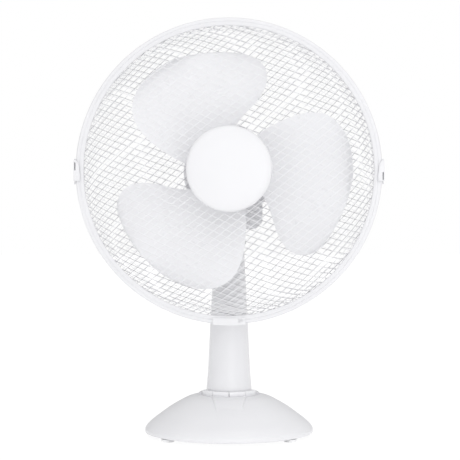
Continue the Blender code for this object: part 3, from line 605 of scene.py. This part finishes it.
cover_outer = [(66, 57.5), (66, 58.6), (65.4, 59.0), (65.4, 59.8), (66, 60.2), (66, 112), (65.9, 118),
               (65.3, 125), (63.9, 133), (61.4, 141), (57.4, 148.5), (51.8, 155), (45, 160), (37, 163.6),
               (27, 166), (14, 167.5), (0, 168)]
cover_inner = [(0, 165.4), (14, 165.0), (30, 163.2), (43, 158.4), (53, 150.3), (61.1, 135.2), (63.5, 118),
               (63.5, 57.5)]
cover = head_turned("motor_housing", cover_outer + cover_inner, 128)
combine(cover, block("cover_floor", (-0.0080, RIM_Y + 0.080, 0.300), (0.0080, RIM_Y + 0.1235, 0.340)))
knob_spot = middle("oscillation_knob")
KNOB_HOLE_R = 0.0037
combine(cover, rod("knob_hole", KNOB_HOLE_R, 0.420, 0.470, "Z", (knob_spot.x, knob_spot.y, 0.0)))
VENT_HALF_WIDTH, VENT_HALF_HEIGHT, VENT_PITCH, VENT_TAPER = 0.026, 0.0014, 0.0100, 0.0030
for index in range(-2, 3):
    half = VENT_HALF_WIDTH - VENT_TAPER * abs(index)
    corners = [(-half, -VENT_HALF_HEIGHT), (half, -VENT_HALF_HEIGHT), (half, VENT_HALF_HEIGHT),
               (-half, VENT_HALF_HEIGHT)]
    slit = extruded("vent", filleted(corners, VENT_HALF_HEIGHT, 4), 0.150, 0.180)
    slit.data.transform(Matrix.Rotation(-math.pi / 2, 4, "X"))
    slit.data.transform(Matrix.Translation((0.0, RIM_Y, HEAD_Z + index * VENT_PITCH)))
    combine(cover, slit)
finished(settle(cover), "white_plastic", "head", "motor_cover")

front_profile = [(8, 42), (19, 42), (20, 43), (20, 53), (21.5, 54), (46, 54), (47, 54.5), (49, 54.5),
                 (50, 54), (64.4, 54), (65.6, 54.6), (66, 55.6), (66, 57.2), (8, 57.2)]
finished(head_turned("motor_faceplate", front_profile, 128, smooth_deg=30.0), "grey_plastic", "head",
         "motor_front_cover")

CHIN_HALF, CHIN_TOP, CHIN_CHAMFER, CHIN_WALL = 0.049, 0.346, 0.010, 0.0025
CHIN_FRONT, CHIN_BACK = 0.060, 0.136
CHIN_HOLE_R = 0.0190
CHIN_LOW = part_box("lower_head_cover")[0].z


def chin_outline(inset):
    """Section of the lower housing as (height, x), shrunk by the inset."""
    half, cut, floor_z = CHIN_HALF - inset, CHIN_CHAMFER - inset * 0.4, CHIN_LOW + inset
    top_z = CHIN_TOP + inset
    return [(floor_z, -half + cut), (floor_z + cut, -half), (top_z, -half), (top_z, half),
            (floor_z + cut, half), (floor_z, half - cut)]


chin = extruded("lower_housing", filleted(chin_outline(0.0), 0.003, 3), CHIN_FRONT, CHIN_BACK, "Y",
                (0.0, RIM_Y, 0.0))
round_edges(chin, 0.0012, 3)
combine(chin, extruded("chin_hollow", chin_outline(CHIN_WALL), CHIN_FRONT + CHIN_WALL,
                       CHIN_BACK - CHIN_WALL, "Y", (0.0, RIM_Y, 0.0)))
combine(chin, head_turned("chin_barrel", [(0, 40), (66.4, 40), (66.4, 150), (0, 150)], 128, closed=False))
combine(chin, rod("chin_floor", CHIN_HOLE_R, 0.290, 0.310, "Z", (0.0, COLUMN_Y, 0.0), 64))
finished(settle(chin), "grey_plastic", "head", "lower_head_cover")

knob_profile = mm([(0, 398.4), (3, 398.4), (3, 453.6), (3.4, 454), (7.0, 454.6), (7.6, 455.2), (8.2, 458),
                   (9, 461.2), (9, 462.8), (8.5, 465), (7.4, 466.8), (5.6, 467.8), (3.4, 468.2), (2.6, 467.8),
                   (0, 467.7)])
knob = turned("pull_knob", knob_profile, 48, "Z", False, (knob_spot.x, knob_spot.y, 0.0))
finished(knob, "white_plastic", "knob", "oscillation_knob")


# ---------------------------------------------------------------- propeller

BLADE_EDGES = (
    # radius, leading edge angle, trailing edge angle (degrees, anticlockwise from +X seen from the front)
    (0.0317, 97.0, 178.0),
    (0.0560, 86.5, 172.8),
    (0.0837, 75.5, 166.5),
    (0.1046, 69.5, 162.2),
    (0.1256, 67.0, 158.0),
    (0.1430, 67.6, 153.8),
    (0.1560, 70.2, 148.8),
    (0.1650, 74.4, 142.4),
    (0.1700, 80.0, 134.0),
    (0.1720, 91.0, 119.0),
)
BLADE_COUNT = 3
BLADE_HALF = 0.0010  # half thickness


def blade_depth(radius, share):
    """Depth of the blade's middle surface; share runs from the leading edge 0 to the trailing edge 1."""
    lean = 0.021 + 0.010 * min(1.0, radius / 0.150)
    return lean * (1.0 - 2.0 * share) + 0.006 * math.sin(math.pi * share)


def blade_half(row_share, share):
    """Half thickness: full in the middle, rounded away at the free edges."""
    edge = min(share, 1.0 - share, (1.0 - row_share) * 1.5)
    return BLADE_HALF * (0.30 + 0.70 * math.sqrt(min(1.0, edge / 0.05)))


def blade(name, turn_deg):
    columns, rows = 30, smooth_line(BLADE_EDGES, 5)
    bm = bmesh.new()
    sheets = []
    for sign in (-1, 1):
        sheet = []
        for r, (radius, lead, trail) in enumerate(rows):
            line = []
            for c in range(columns + 1):
                share = c / columns
                a = math.radians(lead + (trail - lead) * share + turn_deg)
                depth = blade_depth(radius, share) + sign * blade_half(r / (len(rows) - 1), share)
                line.append(bm.verts.new((radius * math.cos(a), RIM_Y + depth,
                                          HEAD_Z + radius * math.sin(a))))
            sheet.append(line)
        sheets.append(sheet)
    front_sheet, back_sheet = sheets
    for sheet in sheets:
        for r in range(len(rows) - 1):
            for c in range(columns):
                bm.faces.new((sheet[r][c], sheet[r][c + 1], sheet[r + 1][c + 1], sheet[r + 1][c]))
    for r in range(len(rows) - 1):
        for c in (0, columns):
            bm.faces.new((front_sheet[r][c], front_sheet[r + 1][c], back_sheet[r + 1][c], back_sheet[r][c]))
    for r in (0, len(rows) - 1):
        for c in range(columns):
            bm.faces.new((front_sheet[r][c], front_sheet[r][c + 1], back_sheet[r][c + 1], back_sheet[r][c]))
    return raw_object(name, bm, 60.0)


hub_profile = [(4.3, -33), (24, -33), (28, -31.6), (31, -29), (32.6, -26), (33, -23), (33, 25), (30.5, 25),
               (30.5, -23), (27, -27), (9, -29), (9, 12), (4.3, 12)]
propeller = head_turned("fan_blades", hub_profile, 96)
for index in range(BLADE_COUNT):
    combine(propeller, blade("blade", index * 360.0 / BLADE_COUNT), "UNION")
finished(settle(propeller, 60.0), "blade_plastic", "rotor", "propeller")


# ---------------------------------------------------------------- column

COLUMN_PROFILE = (
    # height, half width
    (0.0620, 0.0334),
    (0.0700, 0.0332),
    (0.0940, 0.0312),
    (0.1240, 0.0297),
    (0.1600, 0.0281),
    (0.2130, 0.0253),
    (0.2690, 0.0226),
)
COLUMN_TOP_LINE = [(0.2706, 0.0224), (0.2715, 0.0219), (0.2720, 0.0212)]
COLUMN_WALL = 0.0026
COLUMN_DEPTH_SHARE = 0.96
COLUMN_HOLE_R = 0.0022


def half_shell(name, start_deg, stop_deg):
    """Half of the tapered column: a C-shaped section lofted up the profile."""
    steps = 40
    bm = bmesh.new()
    loops = []
    for z, half in smooth_line(COLUMN_PROFILE, 6) + COLUMN_TOP_LINE:
        section = []
        for radius, first, last in ((half, start_deg, stop_deg), (half - COLUMN_WALL, stop_deg, start_deg)):
            for i in range(steps + 1):
                a = math.radians(first + (last - first) * i / steps)
                section.append(bm.verts.new((radius * math.cos(a),
                                             COLUMN_Y + radius * math.sin(a) * COLUMN_DEPTH_SHARE, z)))
        loops.append(section)
    count = 2 * (steps + 1)
    for low_loop, high_loop in zip(loops[:-1], loops[1:]):
        for i in range(count):
            j = (i + 1) % count
            bm.faces.new((low_loop[i], low_loop[j], high_loop[j], high_loop[i]))
    for section in (loops[0], loops[-1]):
        for i in range(steps):
            bm.faces.new((section[i], section[i + 1], section[count - 2 - i], section[count - 1 - i]))
    return raw_object(name, bm, 35.0)


finished(half_shell("column_face", 180.5, 359.5), "white_plastic", "stand", "column_front")
column_back = half_shell("column_back", 0.5, 179.5)
for index in (1, 2):
    screw = middle("column_screw_%d" % index)
    combine(column_back, rod("screw_hole", COLUMN_HOLE_R, -0.02, 0.01, "Y", (0.0, screw.y, screw.z)))
finished(settle(column_back, 35.0), "white_plastic", "stand", "column_rear")


# ---------------------------------------------------------------- base

BASE_HALF_X, BASE_HALF_Y = 0.124, 0.102
BASE_WALL = 0.0026
INLET_HOLE_R = 0.0063
BASE_PROFILE = (
    # share of the half width, height
    (0.965, 0.0042),
    (0.992, 0.0050),
    (0.998, 0.0064),
    (0.999, 0.0086),
    (0.995, 0.0112),
    (0.968, 0.0158),
    (0.912, 0.0224),
    (0.820, 0.0310),
    (0.715, 0.0404),
    (0.600, 0.0490),
    (0.460, 0.0574),
    (0.300, 0.0608),
)
HOUSING_R = 0.0450
HOUSING_BOTTOM, HOUSING_TOP = 0.0440, 0.0616
TROUGH_FLOOR, TROUGH_HALF_DEG = 0.0490, 74.1
FRONT_WALL_TOP, FRONT_WALL_HALF_DEG = 0.0590, 81.3
KEY_INNER, KEY_OUTER = 0.0337, 0.0412
KEY_CENTRES = (-55.5, -18.5, 18.5, 55.5)
KEY_HALF_DEG = 17.9
KEY_BOTTOM, KEY_TOP_DROP = 0.0540, 0.0014
STEM_HALF, STEM_HOLE_HALF, STEM_OVERLAP = 0.0023, 0.0027, 0.0020
GROOVE_HEIGHTS = (0.0607, 0.0629)
GROOVE_HALF_DEG, GROOVE_OUTER, GROOVE_DEPTH, GROOVE_WIDTH = 14.3, 0.0450, 0.0003, 0.0007


def make_base():
    segments = 144
    bm = bmesh.new()
    rings = []
    for share, z in list(BASE_PROFILE[:2]) + smooth_line(BASE_PROFILE[2:], 5):
        rings.append([bm.verts.new((BASE_HALF_X * share * math.cos(2 * math.pi * i / segments),
                                    BASE_Y + BASE_HALF_Y * share * math.sin(2 * math.pi * i / segments), z))
                      for i in range(segments)])
    for lower, upper in zip(rings[:-1], rings[1:]):
        for i in range(segments):
            j = (i + 1) % segments
            bm.faces.new((lower[i], lower[j], upper[j], upper[i]))
    bm.faces.new(rings[-1])
    item = raw_object("base_dome", bm)
    wall = item.modifiers.new("wall", "SOLIDIFY")
    wall.thickness = BASE_WALL
    wall.offset = -1.0
    wall.use_even_offset = True
    return item


base = make_base()
TONGUE_FRONT, TONGUE_BACK = BASE_Y - 0.0680, COLUMN_Y - 0.0380
TONGUE_HALF_FRONT, TONGUE_HALF_BACK = 0.0180, 0.0258
tongue_top = smooth_line([(TONGUE_BACK, 0.0612), (BASE_Y - 0.0455, 0.0594), (BASE_Y - 0.0550, 0.0543),
                          (TONGUE_FRONT, 0.0434)], 6)
tongue = extruded("tongue", [(TONGUE_FRONT, 0.0412), (TONGUE_BACK, 0.0560)] + tongue_top, -1.0, 1.0, "X")
for vert in tongue.data.vertices:
    share = (vert.co.y - TONGUE_FRONT) / (TONGUE_BACK - TONGUE_FRONT)
    vert.co.x *= TONGUE_HALF_FRONT + (TONGUE_HALF_BACK - TONGUE_HALF_FRONT) * share
round_edges(tongue, 0.0014, 3)
combine(base, tongue, "UNION")
combine(base, rod("key_well", HOUSING_R + GAP, 0.040, 0.080, "Z", (0.0, COLUMN_Y, 0.0), 96))
inlet = middle("cord_inlet")
combine(base, rod("inlet_hole", INLET_HOLE_R, -0.03, 0.03, "Y", (0.0, inlet.y, inlet.z)))
finished(settle(base, 32.0), "white_plastic", "stand", "base_shell")

housing_profile = [(0, HOUSING_BOTTOM), (HOUSING_R, HOUSING_BOTTOM), (HOUSING_R, HOUSING_TOP - 0.0014),
                   (HOUSING_R - 0.0005, HOUSING_TOP - 0.0005), (HOUSING_R - 0.0014, HOUSING_TOP),
                   (0, HOUSING_TOP)]
housing = turned("key_surround", housing_profile, 90, "Z", False, (0.0, COLUMN_Y, 0.0))
for tool_name, inner_r, outer_r, half_deg, bottom, steps in (
        ("key_trough", KEY_INNER - GAP, KEY_OUTER + 0.0004, TROUGH_HALF_DEG, TROUGH_FLOOR, 31),
        ("low_wall", KEY_OUTER - 0.0010, 0.060, FRONT_WALL_HALF_DEG, FRONT_WALL_TOP, 29)):
    outline = sector(inner_r, outer_r, FRONT_DEG - half_deg, FRONT_DEG + half_deg, steps)
    combine(housing, extruded(tool_name, outline, bottom, 0.080, centre=(0.0, COLUMN_Y, 0.0)))


def key_stem(name, half, low_z, high_z, angle):
    """Square bar under the middle of a key."""
    a = math.radians(FRONT_DEG + angle)
    radius = (KEY_INNER + KEY_OUTER) / 2
    item = block(name, (-half, -half, low_z), (half, half, high_z))
    item.data.transform(Matrix.Translation((radius * math.cos(a), COLUMN_Y + radius * math.sin(a), 0.0))
                        @ Matrix.Rotation(a, 4, "Z"))
    return item


for angle in KEY_CENTRES:
    combine(housing, key_stem("stem_hole", STEM_HOLE_HALF, 0.030, 0.052, angle))
finished(settle(housing, 35.0), "white_plastic", "stand", "key_housing")

for index, angle in enumerate(KEY_CENTRES):
    key_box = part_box("key_%d" % index)
    mid_deg = FRONT_DEG + angle
    outline = sector(KEY_INNER, KEY_OUTER, mid_deg - KEY_HALF_DEG, mid_deg + KEY_HALF_DEG, 14)
    key = extruded("button_%d" % index, filleted(outline, 0.0012, 3), KEY_BOTTOM,
                   key_box[1].z - KEY_TOP_DROP, centre=(0.0, COLUMN_Y, 0.0))
    round_edges(key, 0.0005, 2)
    groove = sector(KEY_OUTER - GROOVE_DEPTH, GROOVE_OUTER, mid_deg - GROOVE_HALF_DEG,
                    mid_deg + GROOVE_HALF_DEG, 10)
    for z in GROOVE_HEIGHTS:
        combine(key, extruded("key_groove", groove, z, z + GROOVE_WIDTH, centre=(0.0, COLUMN_Y, 0.0)))
    combine(key, key_stem("stem", STEM_HALF, key_box[0].z, KEY_BOTTOM + STEM_OVERLAP, angle), "UNION")
    # The keys are white plastic; giving them the brighter blade plastic is painted light that lifts them out
    # of the shade of the base around them.
    finished(settle(key, 30.0), "blade_plastic", "key_%d" % index, "key_%d" % index)


# ---------------------------------------------------------------- camera, light, floor

CAMERA_DISTANCE, CAMERA_HEIGHT, CAMERA_SHIFT = 1.600, 0.302, 0.0014

camera_data = bpy.data.cameras.new("camera")
camera_data.lens = 88.9
camera_data.sensor_width = 36.0
camera = bpy.data.objects.new("camera", camera_data)
bpy.context.scene.collection.objects.link(camera)
camera.location = (CAMERA_SHIFT, RIM_Y - CAMERA_DISTANCE, CAMERA_HEIGHT)
camera.rotation_euler = (math.radians(90), 0.0, 0.0)
bpy.context.scene.camera = camera


def area_light(name, spot, target, size, watts):
    data = bpy.data.lights.new(name, "AREA")
    data.shape = "RECTANGLE"
    data.size, data.size_y = size
    data.energy = watts
    lamp = bpy.data.objects.new(name, data)
    bpy.context.scene.collection.objects.link(lamp)
    lamp.location = spot
    lamp.rotation_euler = (Vector(target) - Vector(spot)).to_track_quat("-Z", "Y").to_euler()


area_light("front_softbox", (0.5, -2.2, 0.45), (0.0, 0.0, 0.3), (1.2, 1.0), 3.8)

WORLD_LEVEL = 0.75
WORLD_SIDES = (
    # axis, direction along it, light added or taken away on that side
    ("Y", -1.0, 0.46),
    ("X", 1.0, -0.10),
    ("X", -1.0, -0.26),
    ("Z", 1.0, 0.30),
    ("Y", 1.0, -0.20),
)


def studio_world():
    """White to the eye, with light mostly from the front and above, and weaker from the left and the back."""
    world = bpy.data.worlds.new("studio")
    bpy.context.scene.world = world
    world.use_nodes = True
    tree = world.node_tree
    background = tree.nodes["Background"]
    coords = add(tree, "ShaderNodeTexCoord")
    parts = add(tree, "ShaderNodeSeparateXYZ")
    tree.links.new(coords.outputs["Generated"], parts.inputs["Vector"])
    total = None
    for axis, sign, amount in WORLD_SIDES:
        facing = add(tree, "ShaderNodeMath", operation="MULTIPLY", use_clamp=True)
        facing.inputs[1].default_value = sign
        tree.links.new(parts.outputs[axis], facing.inputs[0])
        scaled = add(tree, "ShaderNodeMath", operation="MULTIPLY_ADD")
        scaled.inputs[1].default_value = amount
        scaled.inputs[2].default_value = WORLD_LEVEL
        tree.links.new(facing.outputs["Value"], scaled.inputs[0])
        if total is not None:
            tree.links.new(total, scaled.inputs[2])
        total = scaled.outputs["Value"]
    path = add(tree, "ShaderNodeLightPath")
    seen = add(tree, "ShaderNodeMix", data_type="FLOAT")
    seen.inputs["B"].default_value = 1.0
    tree.links.new(path.outputs["Is Camera Ray"], seen.inputs["Factor"])
    tree.links.new(total, seen.inputs["A"])
    tree.links.new(seen.outputs["Result"], background.inputs["Strength"])
    background.inputs["Color"].default_value = (1.0, 1.0, 1.0, 1.0)


studio_world()
bpy.context.scene.view_settings.view_transform = "Standard"
bpy.context.scene.view_settings.look = "None"

floor_mesh = bpy.data.meshes.new("floor")
reach, drop = 12.0, -0.0002
floor_mesh.from_pydata([(-reach, -reach, drop), (reach, -reach, drop), (reach, reach, drop),
                        (-reach, reach, drop)], [], [(0, 1, 2, 3)])
floor = bpy.data.objects.new("floor", floor_mesh)
bpy.context.scene.collection.objects.link(floor)
floor_white, floor_tree, floor_shader = shader_of("floor_white")
floor_shader.inputs["Emission Color"].default_value = (1.0, 1.0, 1.0, 1.0)
floor_shader.inputs["Roughness"].default_value = 0.85
camera_ray = add(floor_tree, "ShaderNodeLightPath").outputs["Is Camera Ray"]
for socket, bounced, direct in (("Base Color", 0.90, 0.10), ("Emission Strength", 0.22, 0.92)):
    level = add(floor_tree, "ShaderNodeMix", data_type="FLOAT")
    level.inputs["A"].default_value = bounced
    level.inputs["B"].default_value = direct
    floor_tree.links.new(camera_ray, level.inputs["Factor"])
    floor_tree.links.new(level.outputs["Result"], floor_shader.inputs[socket])
floor_mesh.materials.append(floor_white)
